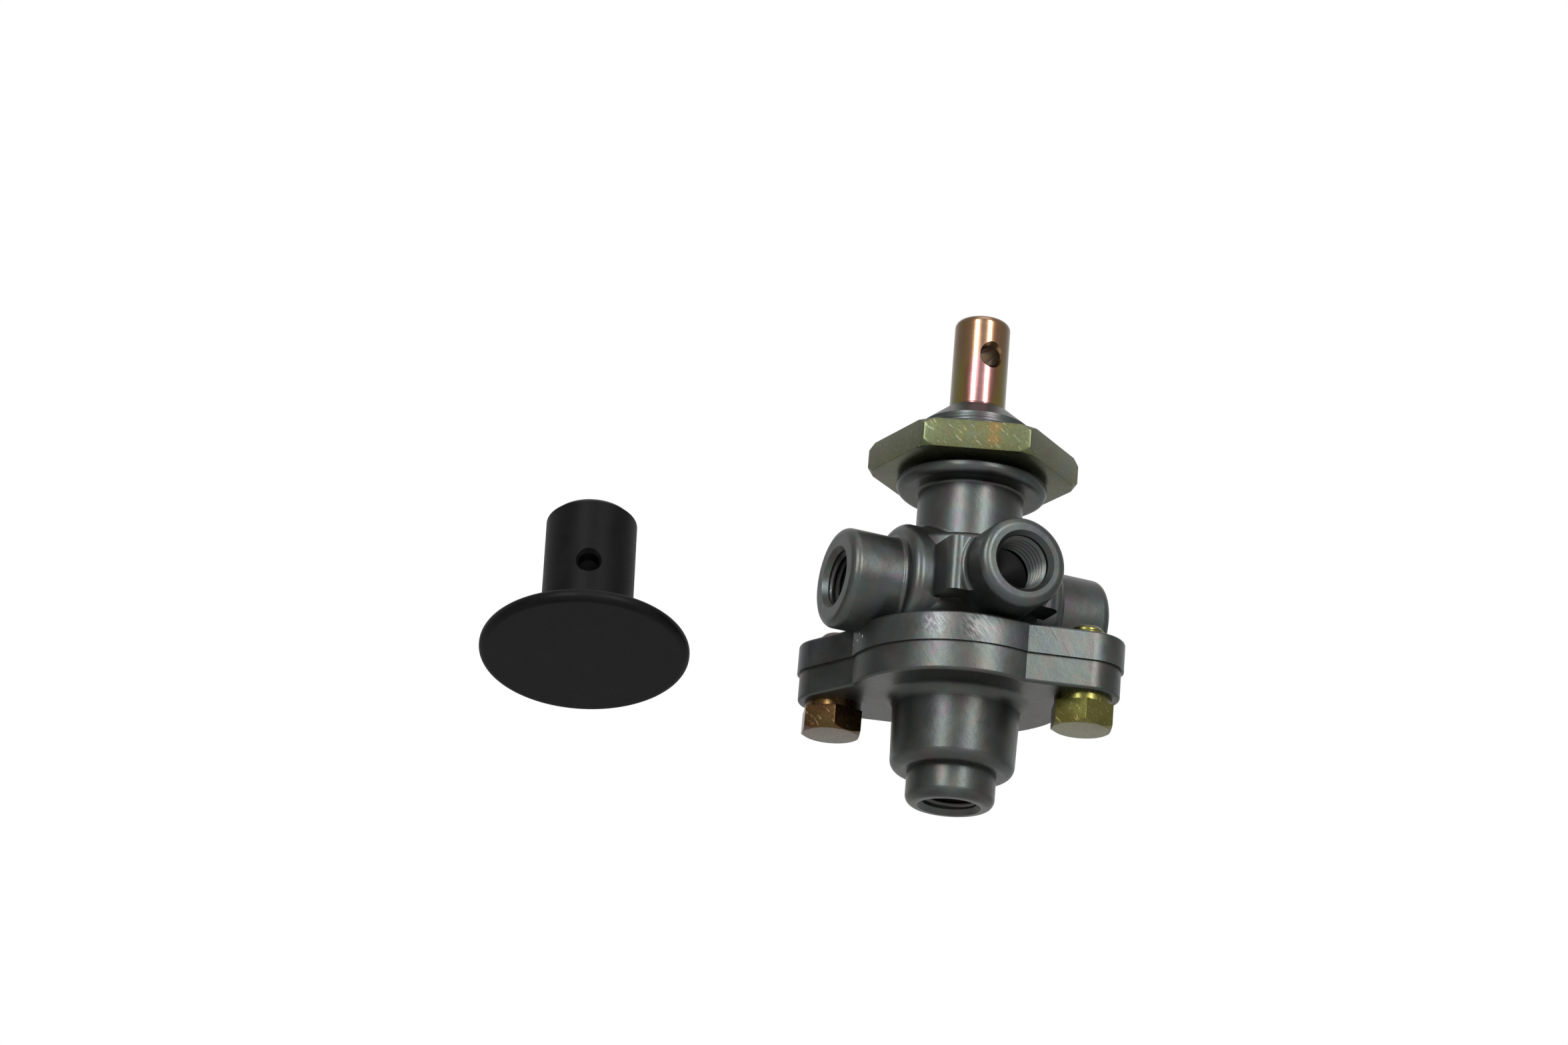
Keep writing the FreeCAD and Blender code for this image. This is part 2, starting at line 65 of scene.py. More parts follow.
# Camera, as fitted to the photograph of 2352 x 1568 pixels
photo_width = 2352
clip_near = 0.01
clip_far = 100.0
sensor_width = 36.0
focal_pixels = 5413.0
camera_azimuth = math.radians(-20.60)
camera_elevation = math.radians(-19.73)
camera_roll = math.radians(5.11)
camera_distance = 816.6 * MM
aim_right = -41.57 * MM
aim_up = -12.10 * MM

# Stage and lights. A lamp's azimuth and elevation are in degrees, counted from the camera's azimuth
floor_drop = 95.0 * MM
floor_size = 8.0
floor_fade_start = 0.35
floor_fade_end = 1.1
floor_colour = (0.86, 0.86, 0.85, 1)
ambient_level = 0.42
lamp_target_level = -20 * MM
lamps = [
    {"name": "left_strip", "azimuth": -26, "elevation": 24, "distance": 1.0,
     "size": (0.12, 0.60), "power": 14.0},
    {"name": "right_strip", "azimuth": 27, "elevation": 24, "distance": 1.0,
     "size": (0.12, 0.60), "power": 14.0},
    {"name": "top_light", "azimuth": 10, "elevation": 75, "distance": 1.2,
     "size": (0.7, 0.7), "power": 4.0},
]

# Worn edges of the hexagons
nut_edge_width = 0.28 * MM
head_edge_width = 0.22 * MM
edge_segments = 3
edge_angle = math.radians(18)
flat_angle = math.radians(0.6)
worn_smooth_angle = math.radians(35)

# Threads. A ridge's widths are in pitches, and its foot is sunk by a share of its height
pipe_pitch = 25.4 / 18 * MM
panel_pitch = 25.4 / 18 * MM
screw_pitch = 25.4 / 18 * MM
neck_wall = 12.65 * MM
dome_base = 13.3 * MM
screw_wall = 3.95 * MM
screw_tip_length = 3.0 * MM
pipe_ridge = 0.72 * MM
panel_ridge = 0.30 * MM
screw_ridge = 0.28 * MM
ridge_foot_half = 0.46
ridge_crest_half = 0.07
ridge_sunk_share = 0.15
ridge_steps_per_turn = 72
ridge_smooth_angle = math.radians(40)

# Nicks in the flange: bearing in degrees, level of the top, height and lean of each stroke
flange_radius = 24.8 * MM
nick_width = 0.9 * MM
nick_sunk = 0.15 * MM
nick_raise = 0.06 * MM
nick_strokes = [
    (172.0, -39.9 * MM, 2.6 * MM, 0.2),
    (174.6, -41.2 * MM, 2.4 * MM, 0.3),
    (176.8, -39.6 * MM, 3.0 * MM, 0.1),
    (179.4, -40.6 * MM, 2.6 * MM, 0.3),
    (182.0, -38.9 * MM, 3.4 * MM, 0.1),
    (185.0, -39.7 * MM, 3.6 * MM, 0.1),
]

# Painted shade in the threaded bores: it fades out past the wall and near the mouth, and ends past the bottom
bore_shade_wall_near = 0.3 * MM
bore_shade_wall_far = 0.8 * MM
bore_shade_mouth = 2.5 * MM
bore_shade_end_near = 8.0 * MM
bore_shade_end_far = 9.0 * MM

# Filed patches on the body's flange: centre and reach
filed_patches = [
    ((-15.0 * MM, -19.8 * MM, -41.0 * MM), 3.6 * MM),
    ((-6.0 * MM, -24.0 * MM, -41.5 * MM), 5.2 * MM),
]
filed_core = 0.5 * MM

# Colours
body_grey = (0.036, 0.037, 0.037)
cover_grey = (0.034, 0.034, 0.033)
copper_streak = (0.070, 0.036, 0.022)

# Brown patches on the panel nut
patch_tint = (0.092, 0.062, 0.024)
patch_core = 0.4 * MM
patch_soft = 1.9 * MM
patch_places = [(-4.4 * MM, -20.5 * MM, 6.6 * MM), (-4.4 * MM, -20.5 * MM, 3.6 * MM)]


def put(tree, kind, inputs=None, **settings):
    """Add a node. Inputs are values or output sockets, by name or number."""
    node = tree.nodes.new(kind)
    for name, value in settings.items():
        setattr(node, name, value)
    for key, value in (inputs or {}).items():
        if isinstance(value, bpy.types.NodeSocket):
            tree.links.new(value, node.inputs[key])
        else:
            node.inputs[key].default_value = value
    return node


def place(tree):
    """Coordinates fixed to the part, in metres."""
    return put(tree, "ShaderNodeTexCoord").outputs["Object"]


def stretched(tree, vector, scale, turn=(0, 0, 0)):
    """Coordinates scaled along each axis after a turn."""
    turned = put(tree, "ShaderNodeMapping", {"Vector": vector, "Rotation": turn}).outputs[0]
    return put(tree, "ShaderNodeMapping", {"Vector": turned, "Scale": scale}).outputs[0]


def noise(tree, vector, scale, detail=3.0, roughness=0.5, distortion=0.0):
    """Noise value from 0 to 1."""
    inputs = {"Vector": vector, "Scale": scale, "Detail": detail, "Roughness": roughness,
              "Distortion": distortion}
    return put(tree, "ShaderNodeTexNoise", inputs).outputs["Fac"]


def calc(tree, operation, a, b=0.0, c=0.0):
    """One arithmetic step."""
    return put(tree, "ShaderNodeMath", {0: a, 1: b, 2: c}, operation=operation).outputs[0]


def vector_math(tree, operation, a, b):
    """One step between vectors, as a node."""
    return put(tree, "ShaderNodeVectorMath", {0: a, 1: b}, operation=operation)


def shifted(tree, seed):
    """Coordinates fixed to the part, moved so that each finish has its own pattern."""
    return vector_math(tree, "ADD", place(tree), (seed, seed, seed)).outputs[0]


def times(colour, factor):
    """Colour made lighter or darker."""
    return tuple(factor * c for c in colour)


def between(tree, value, low, high, to_low=0.0, to_high=1.0):
    """Smooth step of a value from one range to another."""
    inputs = {"Value": value, "From Min": low, "From Max": high, "To Min": to_low, "To Max": to_high}
    return put(tree, "ShaderNodeMapRange", inputs, interpolation_type="SMOOTHSTEP").outputs[0]


def ramp(tree, value, stops):
    """Colour ramp through (position, colour) stops."""
    node = put(tree, "ShaderNodeValToRGB", {"Fac": value})
    elements = node.color_ramp.elements
    while len(elements) < len(stops):
        elements.new(0.5)
    for element, (position, colour) in zip(elements, stops):
        element.position = position
        element.color = (*colour, 1)
    return node.outputs["Color"]


def blend(tree, factor, a, b, mode="MIX"):
    """Mix of two colours."""
    colours = [(*c, 1) if isinstance(c, tuple) and len(c) == 3 else c for c in (a, b)]
    inputs = {0: factor, 6: colours[0], 7: colours[1]}
    return put(tree, "ShaderNodeMix", inputs, data_type="RGBA", blend_type=mode).outputs[2]


def bump(tree, height, distance, strength=1.0, under=None):
    """Surface normal from a height, over another bump if given."""
    inputs = {"Height": height, "Distance": distance, "Strength": strength}
    if under is not None:
        inputs["Normal"] = under
    return put(tree, "ShaderNodeBump", inputs).outputs["Normal"]


def new_material(name):
    """Empty node material."""
    material = bpy.data.materials.new(name)
    material.use_nodes = True
    material.node_tree.nodes.clear()
    return material, material.node_tree


def finish_material(tree, colour, roughness, normal, **constants):
    """Principled surface with its varying inputs linked and its constants on the sockets."""
    inputs = {"Base Color": colour, "Roughness": roughness, "Normal": normal}
    for name, value in constants.items():
        inputs[name.replace("_", " ").title().replace("Ior", "IOR")] = value
    shader = put(tree, "ShaderNodeBsdfPrincipled", inputs)
    put(tree, "ShaderNodeOutputMaterial", {"Surface": shader.outputs[0]})


def near(tree, vector, centre, radius, soft):
    """1 within a distance of a point, fading to 0."""
    distance = vector_math(tree, "DISTANCE", vector, centre).outputs["Value"]
    return between(tree, distance, radius, radius + soft, 1.0, 0.0)


def bore_shade_mask(tree, vector, mount):
    """Mask of the painted shade in a threaded bore: 1 on the wall and the end, fading to 0 at its mouth."""
    half = mount["dims"]["length_mm"] / 2 * MM
    wall = mount["dims"]["r_mm"] * MM
    from_middle = vector_math(tree, "SUBTRACT", vector, mount["pos_m"]).outputs[0]
    along = vector_math(tree, "DOT_PRODUCT", from_middle, mount["axis"]).outputs["Value"]
    spine = put(tree, "ShaderNodeVectorMath", {0: mount["axis"], 3: along}, operation="SCALE").outputs[0]
    away = vector_math(tree, "DISTANCE", from_middle, spine).outputs["Value"]
    close = between(tree, away, wall + bore_shade_wall_near, wall + bore_shade_wall_far, 1.0, 0.0)
    deep = between(tree, along, half - bore_shade_mouth, half, 1.0, 0.0)
    past = between(tree, along, -half - bore_shade_end_far, -half - bore_shade_end_near)
    return calc(tree, "MULTIPLY", close, calc(tree, "MULTIPLY", deep, past))


def brushed_patch(tree, vector):
    """1 on diagonal filing strokes over two patches of the body's flange."""
    strokes = noise(tree, stretched(tree, vector, (1.0, 1.0, 0.08), (0.0, 0.75, 0.35)), 1700.0, 3.0, 0.6)
    left, right = [near(tree, vector, centre, filed_core, reach) for centre, reach in filed_patches]
    return calc(tree, "MULTIPLY", between(tree, strokes, 0.42, 0.62), calc(tree, "MAXIMUM", left, right))


def cast_metal(name, base, seed, bores=()):
    """Bare die-cast metal: dull grey with stains, a faint rainbow, pits, scratches and painted shade in the
    bores.
    """
    material, tree = new_material(name)
    here = shifted(tree, seed)
    stains = noise(tree, here, 90.0, 4.0, 0.6)
    rainbow = ramp(tree, noise(tree, here, 160.0, 2.0, 0.5, 0.6), [
        (0.30, (1.00, 0.86, 0.93)),
        (0.42, (1.00, 0.97, 0.88)),
        (0.52, (0.86, 1.00, 0.93)),
        (0.62, (0.88, 0.95, 1.00)),
        (0.72, (1.00, 0.89, 0.98)),
    ])
    tone = ramp(tree, stains, [
        (0.30, times(base, 0.72)),
        (0.55, base),
        (0.75, times(base, 1.25)),
    ])
    colour = blend(tree, 1.0, tone, rainbow, "MULTIPLY")
    # Painted shade: the base colour is darkened deep inside each bore
    for mount in bores:
        colour = blend(tree, bore_shade_mask(tree, place(tree), mount), colour, times(base, 0.22))
    streaks = noise(tree, stretched(tree, here, (1.0, 1.0, 0.06), (0.2, 0.5, 0.0)), 900.0, 3.0, 0.6)
    pits = noise(tree, here, 2600.0, 3.0, 0.6)
    soft = noise(tree, here, 380.0, 3.0, 0.5)
    roughness = calc(tree, "MULTIPLY_ADD", stains, 0.22, 0.24)
    roughness = calc(tree, "MULTIPLY_ADD", streaks, 0.08, roughness)
    filed = brushed_patch(tree, place(tree))
    colour = blend(tree, calc(tree, "MULTIPLY", filed, 0.8), colour, times(base, 3.2))
    roughness = calc(tree, "MULTIPLY_ADD", filed, 0.12, roughness)
    normal = bump(tree, soft, 0.10 * MM, 0.5)
    normal = bump(tree, pits, 0.03 * MM, 0.5, normal)
    normal = bump(tree, between(tree, streaks, 0.62, 0.75), 0.02 * MM, 0.5, normal)
    finish_material(tree, colour, roughness, normal, metallic=0.92)
    return material


def plated_plunger():
    """Yellow zinc plating on a turned rod: copper at the end, pink and olive bands further down. The bands
    around the rod are painted reflection: film colours and a brighter pink highlight, set by bearing from the
    side that faces the camera.
    """
    material, tree = new_material("plated_plunger_finish")
    here = place(tree)
    x, y, z = put(tree, "ShaderNodeSeparateXYZ", {0: here}).outputs
    # Painted reflection: the plating's colour is set by bearing from the side that faces the camera, pink and
    # brightest there
    camera_facing_bearing = camera_azimuth - math.pi / 2
    turn = calc(tree, "ARCTAN2", y, x)
    turn = calc(tree, "SUBTRACT", turn, camera_facing_bearing)
    turn = calc(tree, "ABSOLUTE", calc(tree, "WRAP", turn, math.pi, -math.pi))
    wander = noise(tree, stretched(tree, here, (1, 1, 0.35)), 260.0, 3.0, 0.6)
    turn = calc(tree, "MULTIPLY_ADD", wander, 0.7, calc(tree, "SUBTRACT", turn, 0.35))
    turn = calc(tree, "DIVIDE", turn, math.pi)
    lower_plating_and_reflection = ramp(tree, turn, [
        (0.00, (0.194, 0.097, 0.097)),
        (0.09, (0.178, 0.081, 0.081)),
        (0.15, (0.113, 0.054, 0.038)),
        (0.23, (0.108, 0.081, 0.022)),
        (0.36, (0.097, 0.092, 0.043)),
        (0.55, (0.149, 0.092, 0.076)),
        (0.80, (0.113, 0.103, 0.032)),
        (1.00, (0.162, 0.086, 0.081)),
    ])
    upper_copper_and_reflection = ramp(tree, turn, [
        (0.00, (0.167, 0.103, 0.065)),
        (0.14, (0.135, 0.076, 0.041)),
        (0.30, (0.103, 0.065, 0.035)),
        (0.60, (0.135, 0.081, 0.043)),
        (1.00, (0.140, 0.092, 0.049)),
    ])
    height = calc(tree, "MULTIPLY_ADD", calc(tree, "SUBTRACT", wander, 0.5), 9 * MM, z)
    colour = blend(tree, between(tree, height, 25 * MM, 33 * MM), lower_plating_and_reflection, upper_copper_and_reflection)
    rings = noise(tree, stretched(tree, here, (0.02, 0.02, 1.0)), 5200.0, 2.0, 0.5)
    lines = noise(tree, stretched(tree, here, (1.0, 1.0, 0.03)), 2400.0, 2.0, 0.6)
    colour = blend(tree, between(tree, lines, 0.60, 0.72, 0.0, 0.35), colour, copper_streak)
    roughness = calc(tree, "MULTIPLY_ADD", rings, 0.14, 0.17)
    normal = bump(tree, rings, 0.012 * MM, 0.6)
    normal = bump(tree, lines, 0.01 * MM, 0.4, normal)
    finish_material(tree, colour, roughness, normal, metallic=1.0)
    return material


def plated_steel(name, stops, roughness_low, scratch_tint, seed, patches=()):
    """Yellow zinc plating that wanders through a few film colours, with fine scratches."""
    material, tree = new_material(name)
    here = shifted(tree, seed)
    film = noise(tree, here, 110.0, 3.0, 0.55, 0.4)
    colour = ramp(tree, film, stops)
    for centre in patches:
        moved = tuple(c + seed for c in centre)
        colour = blend(tree, near(tree, here, moved, patch_core, patch_soft), colour, patch_tint)
    scratches = noise(tree, stretched(tree, here, (1.0, 1.0, 0.05), (0.5, 0.6, 0.3)), 2200.0, 2.0, 0.6)
    marks = between(tree, scratches, 0.60, 0.70)
    colour = blend(tree, calc(tree, "MULTIPLY", marks, 0.45), colour, scratch_tint)
    grain = noise(tree, here, 1800.0, 3.0, 0.6)
    roughness = calc(tree, "MULTIPLY_ADD", grain, 0.20, roughness_low)
    normal = bump(tree, grain, 0.03 * MM, 0.5)
    normal = bump(tree, marks, 0.02 * MM, 0.6, normal)
    finish_material(tree, colour, roughness, normal, metallic=0.95)
    return material


def black_plastic():
    """Moulded black plastic with a satin skin, faint flow and handling marks."""
    material, tree = new_material("knob_plastic_finish")
    here = place(tree)
    cloud = noise(tree, here, 130.0, 3.0, 0.6)
    grain = noise(tree, here, 2400.0, 2.0, 0.6)
    rubs = noise(tree, stretched(tree, here, (1.0, 0.07, 1.0), (0.3, 0.2, 0.9)), 1500.0, 2.0, 0.6)
    colour = ramp(tree, cloud, [(0.35, (0.0008, 0.0008, 0.0008)), (0.70, (0.0020, 0.0020, 0.0022))])
    roughness = calc(tree, "MULTIPLY_ADD", cloud, 0.18, 0.38)
    roughness = calc(tree, "MULTIPLY_ADD", between(tree, rubs, 0.60, 0.72), -0.10, roughness)
    normal = bump(tree, grain, 0.02 * MM, 0.4)
    finish_material(tree, colour, roughness, normal, metallic=0.0, specular_ior_level=0.045)
    return material


def plain_metal(name, dark, light, roughness_low):
    """Machined inner metal with turning lines."""
    material, tree = new_material(name)
    here = place(tree)
    lines = noise(tree, stretched(tree, here, (0.05, 0.05, 1.0)), 3000.0, 2.0, 0.6)
    cloud = noise(tree, here, 150.0, 3.0, 0.6)
    colour = ramp(tree, cloud, [(0.3, dark), (0.7, light)])
    roughness = calc(tree, "MULTIPLY_ADD", lines, 0.2, roughness_low)
    finish_material(tree, colour, roughness, bump(tree, lines, 0.01 * MM, 0.5), metallic=1.0)
    return material


def rubber():
    """Black nitrile rubber with a dull bloom."""
    material, tree = new_material("seal_rubber_finish")
    here = place(tree)
    bloom = noise(tree, here, 400.0, 4.0, 0.6)
    colour = ramp(tree, bloom, [(0.3, (0.010, 0.010, 0.010)), (0.7, (0.022, 0.022, 0.021))])
    roughness = calc(tree, "MULTIPLY_ADD", bloom, 0.2, 0.55)
    finish_material(tree, colour, roughness, bump(tree, bloom, 0.02 * MM, 0.5))
    return material


def dress(name, material):
    """Give a solid its finish in all its slots."""
    mesh = nodes[name].data
    mesh.materials.clear()
    mesh.materials.append(material)


def link(name, mesh, material, body):
    """New piece from a mesh, with its finish, riding on a body."""
    piece = bpy.data.objects.new(name, mesh)
    bpy.context.scene.collection.objects.link(piece)
    mesh.materials.clear()
    mesh.materials.append(material)
    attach(piece, body)
    return piece


def rounded_copy(node, name, width, material, body):
    """A solid again with its sharp edges softly rounded."""
    mesh = bpy.data.meshes.new(name)
    work = bmesh.new()
    work.from_mesh(nodes[node].data)
    bmesh.ops.remove_doubles(work, verts=work.verts, dist=0.001 * MM)
    bmesh.ops.dissolve_limit(work, angle_limit=flat_angle, verts=work.verts, edges=work.edges)
    sharp = [e for e in work.edges if len(e.link_faces) == 2 and e.calc_face_angle() > edge_angle]
    bmesh.ops.bevel(work, geom=sharp, offset=width, offset_type="OFFSET", segments=edge_segments, profile=0.5,
                    affect="EDGES", clamp_overlap=True)
    bmesh.ops.triangulate(work, faces=work.faces)
    work.to_mesh(mesh)
    work.free()
    mesh.shade_smooth()
    mesh.set_sharp_from_angle(angle=worn_smooth_angle)
    piece = link(name, mesh, material, body)
    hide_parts(node)


def helix_ridge(name, wall, crest, pitch, start, end, frame_of):
    """Thread ridge along a wall radius, with its crest at another radius, running out at both ends."""
    turns = (end - start) / pitch
    count = int(turns * ridge_steps_per_turn)
    mesh = bpy.data.meshes.new(name)
    work = bmesh.new()
    sunk = wall + (wall - crest) * ridge_sunk_share
    profile = [(sunk, -ridge_foot_half), (crest, -ridge_crest_half), (crest, ridge_crest_half),
               (sunk, ridge_foot_half)]
    rows = []
    for i in range(count + 1):
        share = i / count
        angle = 2 * math.pi * turns * share
        level = start + (end - start) * share
        taper = min(1.0, share * turns * 2, (1 - share) * turns * 2)
        row = []
        for radius, along in profile:
            r = sunk + (radius - sunk) * taper
            point = Vector((r * math.cos(angle), r * math.sin(angle), level + along * pitch))
            row.append(work.verts.new(frame_of @ point))
        rows.append(row)
    for a, b in zip(rows, rows[1:]):
        for k in range(len(profile)):
            j = (k + 1) % len(profile)
            work.faces.new((a[k], a[j], b[j], b[k]))
    work.faces.new(rows[0])
    work.faces.new(rows[-1][::-1])
    bmesh.ops.recalc_face_normals(work, faces=work.faces)
    bmesh.ops.triangulate(work, faces=work.faces)
    work.to_mesh(mesh)
    work.free()
    mesh.shade_smooth()
    mesh.set_sharp_from_angle(angle=ridge_smooth_angle)
    return mesh


def pointing(direction, origin):
    """Matrix that turns +Z to a direction and moves to an origin."""
    turn = Vector(direction).to_track_quat("Z", "Y").to_matrix().to_4x4()
    return Matrix.Translation(Vector(origin)) @ turn


def flange_nicks(material):
    """Bright nicks in the flange beside the left screw, as low four-sided burrs."""
    mesh = bpy.data.meshes.new("flange_nicks")
    work = bmesh.new()
    for bearing, top, tall, lean in nick_strokes:
        angle = math.radians(bearing)
        outward = Vector((math.cos(angle), math.sin(angle), 0))
        sideways = Vector((-math.sin(angle), math.cos(angle), 0)) * nick_width
        middle = outward * (flange_radius - nick_sunk)
        corners = [(0.0, 0.0), (0.5, -0.25), (0.35 + lean, -1.0), (lean, -0.8)]
        foot = [work.verts.new(middle + sideways * s + Vector((0, 0, top + tall * t))) for s, t in corners]
        crest = outward * (flange_radius + nick_raise) + sideways * (0.2 + lean / 2)
        tip = work.verts.new(crest + Vector((0, 0, top - tall / 2)))
        for k, corner in enumerate(foot):
            work.faces.new((corner, foot[(k + 1) % len(foot)], tip))
        work.faces.new(foot[::-1])
    bmesh.ops.recalc_face_normals(work, faces=work.faces)
    work.to_mesh(mesh)
    work.free()
    link("flange_nicks", mesh, material, "valve")


def port_threads(material):
    """Pipe threads in the four ports."""
    for port in ("left_port", "right_port", "front_port", "bottom_port"):
        mount = mounts[port]
        wall = mount["dims"]["r_mm"] * MM
        half = mount["dims"]["length_mm"] / 2 * MM
        seat = pointing(mount["axis"], mount["pos_m"])
        ridge = helix_ridge(port + "_thread", wall, wall - pipe_ridge, pipe_pitch, -half + pipe_pitch / 2,
                            half - pipe_pitch / 3, seat)
        link(port + "_thread", ridge, material, "valve")


def panel_thread(material):
    """Thread of the neck, above the nut."""
    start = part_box("panel_nut")[1].z + 0.5 * panel_pitch
    ridge = helix_ridge("panel_thread", neck_wall, neck_wall + panel_ridge, panel_pitch, start,
                        dome_base - 0.5 * panel_pitch, Matrix.Identity(4))
    link("panel_thread", ridge, material, "valve")


def screw_thread(side, material):
    """Thread of one cap screw's end, above the body's flange."""
    low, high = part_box(side + "_lock_washer")
    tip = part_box(side + "_cap_screw")[1].z
    centre = Matrix.Translation(Vector(((low.x + high.x) / 2, (low.y + high.y) / 2, 0)))
    ridge = helix_ridge(side + "_screw_thread", screw_wall, screw_wall + screw_ridge, screw_pitch,
                        tip - screw_tip_length + 0.2 * screw_pitch, tip - 0.7 * screw_pitch, centre)
    link(side + "_screw_thread", ridge, material, "valve")


def photo_camera():
    """Camera of the photograph."""
    d = Vector((math.sin(camera_azimuth) * math.cos(camera_elevation),
                -math.cos(camera_azimuth) * math.cos(camera_elevation),
                math.sin(camera_elevation)))
    level_right = Vector((math.cos(camera_azimuth), math.sin(camera_azimuth), 0))
    level_up = d.cross(level_right)
    right = math.cos(camera_roll) * level_right + math.sin(camera_roll) * level_up
    up = -math.sin(camera_roll) * level_right + math.cos(camera_roll) * level_up
    aim = aim_right * level_right + aim_up * level_up
    turn = Matrix((right, up, d)).transposed().to_4x4()
    data = bpy.data.cameras.new("photo_camera")
    data.sensor_width = sensor_width
    data.lens = focal_pixels / photo_width * sensor_width
    data.clip_start = clip_near
    data.clip_end = clip_far
    camera = bpy.data.objects.new("photo_camera", data)
    camera.matrix_world = Matrix.Translation(aim + camera_distance * d) @ turn
    bpy.context.scene.collection.objects.link(camera)
    bpy.context.scene.camera = camera


def stage_floor():
    """Floor, which shows and blocks light only from above and fades out to white."""
    material, tree = new_material("stage_floor")
    away = put(tree, "ShaderNodeVectorMath", {0: place(tree)}, operation="LENGTH").outputs["Value"]
    fade = between(tree, away, floor_fade_start, floor_fade_end)
    seen = put(tree, "ShaderNodeLightPath").outputs["Is Camera Ray"]
    pale = put(tree, "ShaderNodeBsdfDiffuse", {"Color": floor_colour})
    glow = put(tree, "ShaderNodeEmission", {"Color": (1, 1, 1, 1), "Strength": 1.0})
    share = calc(tree, "MULTIPLY", fade, seen)
    mixed = put(tree, "ShaderNodeMixShader", {0: share, 1: pale.outputs[0], 2: glow.outputs[0]})
    behind = put(tree, "ShaderNodeNewGeometry").outputs["Backfacing"]
    clear = put(tree, "ShaderNodeBsdfTransparent")
    surface = put(tree, "ShaderNodeMixShader", {0: behind, 1: mixed.outputs[0], 2: clear.outputs[0]})
    put(tree, "ShaderNodeOutputMaterial", {"Surface": surface.outputs[0]})
    mesh = bpy.data.meshes.new("stage_floor")
    reach = floor_size / 2
    corners = [(-reach, -reach, 0), (reach, -reach, 0), (reach, reach, 0), (-reach, reach, 0)]
    mesh.from_pydata(corners, [], [(0, 1, 2, 3)])
    mesh.materials.append(material)
    floor = bpy.data.objects.new("stage_floor", mesh)
    floor.location = (0, 0, cad_box[0].z - floor_drop)
    bpy.context.scene.collection.objects.link(floor)


def stage_world():
    """World: white to the eye and to reflections, softer as light."""
    world = bpy.data.worlds.new("stage_world")
    world.use_nodes = True
    bpy.context.scene.world = world
    tree = world.node_tree
    tree.nodes.clear()
    path = put(tree, "ShaderNodeLightPath").outputs
    shown = calc(tree, "MAXIMUM", path["Is Glossy Ray"], path["Is Transmission Ray"])
    shown = calc(tree, "MAXIMUM", path["Is Camera Ray"], shown)
    level = calc(tree, "MULTIPLY_ADD", shown, 1.0 - ambient_level, ambient_level)
    sky = put(tree, "ShaderNodeBackground", {"Color": (1, 1, 1, 1), "Strength": level})
    put(tree, "ShaderNodeOutputWorld", {"Surface": sky.outputs[0]})


def softbox(name, azimuth, elevation, distance, size, power):
    """Rectangular lamp that faces the middle of the valve."""
    a = camera_azimuth + math.radians(azimuth)
    e = math.radians(elevation)
    outward = Vector((math.sin(a) * math.cos(e), -math.cos(a) * math.cos(e), math.sin(e)))
    data = bpy.data.lights.new(name, "AREA")
    data.shape = "RECTANGLE"
    data.size = size[0]
    data.size_y = size[1]
    data.energy = power
    lamp = bpy.data.objects.new(name, data)
    lamp.location = Vector((0, 0, lamp_target_level)) + outward * distance
    lamp.rotation_mode = "QUATERNION"
    lamp.rotation_quaternion = outward.to_track_quat("Z", "Y")
    bpy.context.scene.collection.objects.link(lamp)


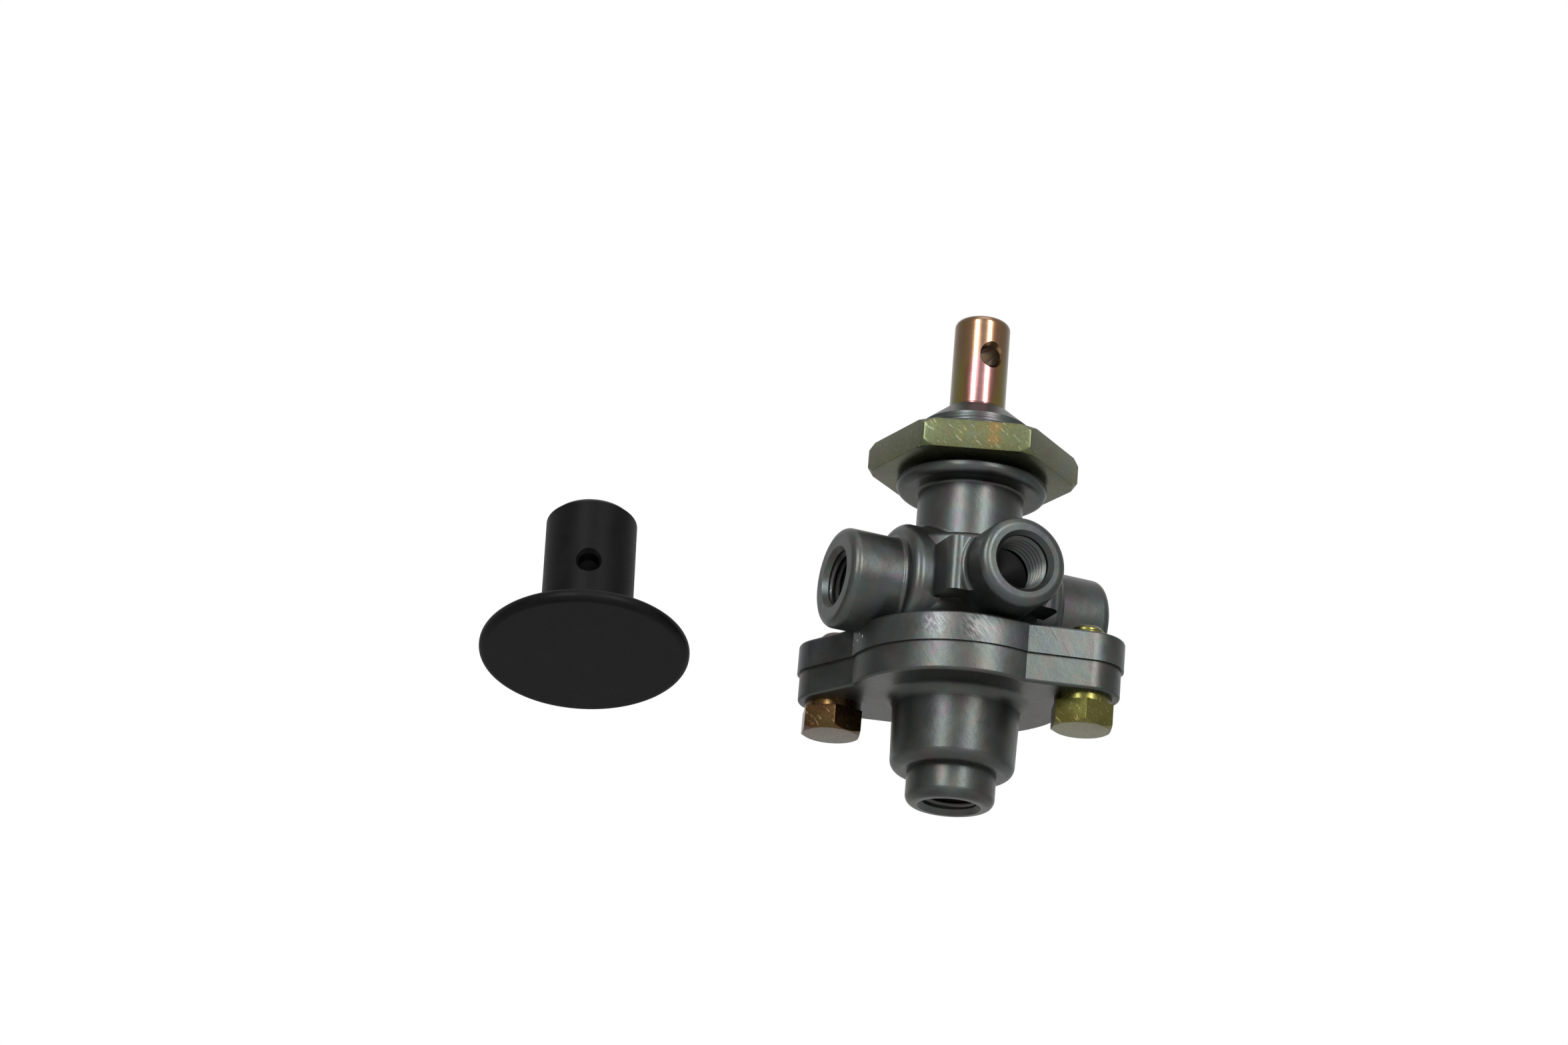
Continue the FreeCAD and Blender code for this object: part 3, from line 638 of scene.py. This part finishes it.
# Finishes
mounts = {mount["name"]: mount for mount in frame["record"]["mounts"]}
body_ports = [mounts[name] for name in ("left_port", "right_port", "front_port")]
body_finish = cast_metal("body_casting_finish", body_grey, 0.0, body_ports)
cover_finish = cast_metal("cover_casting_finish", cover_grey, 0.31, [mounts["bottom_port"]])
thread_finish = cast_metal("port_thread_finish", body_grey, 0.12)
nick_finish = plain_metal("nick_finish", (0.16, 0.17, 0.17), (0.30, 0.31, 0.31), 0.35)
plunger_finish = plated_plunger()
nut_finish = plated_steel("plated_nut_finish", [
    (0.30, (0.055, 0.047, 0.026)),
    (0.45, (0.050, 0.058, 0.030)),
    (0.58, (0.062, 0.062, 0.026)),
    (0.72, (0.050, 0.060, 0.042)),
], 0.26, (0.15, 0.15, 0.11), 0.07, patch_places)
olive_finish = plated_steel("plated_screw_olive_finish", [
    (0.30, (0.055, 0.045, 0.010)),
    (0.50, (0.070, 0.066, 0.018)),
    (0.70, (0.036, 0.036, 0.009)),
], 0.20, (0.24, 0.19, 0.09), 0.17)
copper_finish = plated_steel("plated_screw_copper_finish", [
    (0.30, (0.040, 0.016, 0.007)),
    (0.50, (0.050, 0.030, 0.010)),
    (0.70, (0.032, 0.028, 0.008)),
], 0.20, (0.22, 0.16, 0.11), 0.27)
knob_finish = black_plastic()
rubber_finish = rubber()
brass_finish = plain_metal("guide_brass_finish", (0.45, 0.32, 0.12), (0.60, 0.45, 0.20), 0.2)
spring_finish = plain_metal("spring_steel_finish", (0.25, 0.25, 0.26), (0.42, 0.42, 0.43), 0.25)
inner_finish = plain_metal("inner_steel_finish", (0.35, 0.35, 0.35), (0.50, 0.50, 0.50), 0.25)

finish_of_slot = {
    "body_casting": body_finish,
    "cover_casting": cover_finish,
    "seal_rubber": rubber_finish,
    "plated_plunger": plunger_finish,
    "guide_brass": brass_finish,
    "spring_steel": spring_finish,
    "inner_steel": inner_finish,
    "plated_nut": nut_finish,
    "plated_screw_olive": olive_finish,
    "plated_screw_copper": copper_finish,
    "knob_plastic": knob_finish,
}
slot_of_node = {part["node"]: part["material_slot"] for part in frame["record"]["subparts"]}
for node_name, slot_name in slot_of_node.items():
    dress(node_name, finish_of_slot[slot_name])

# Pieces over the solids
rounded_copy("panel_nut", "panel_nut_worn", nut_edge_width, nut_finish, "valve")
for side, finish in (("right", olive_finish), ("left", copper_finish)):
    screw = side + "_cap_screw"
    rounded_copy(screw, screw + "_worn", head_edge_width, finish, "valve")
flange_nicks(nick_finish)
port_threads(thread_finish)
panel_thread(body_finish)
screw_thread("right", olive_finish)
screw_thread("left", copper_finish)

# Picture
photo_camera()
stage_floor()
stage_world()
for lamp in lamps:
    softbox(**lamp)
scene = bpy.context.scene
scene.view_settings.view_transform = "Standard"
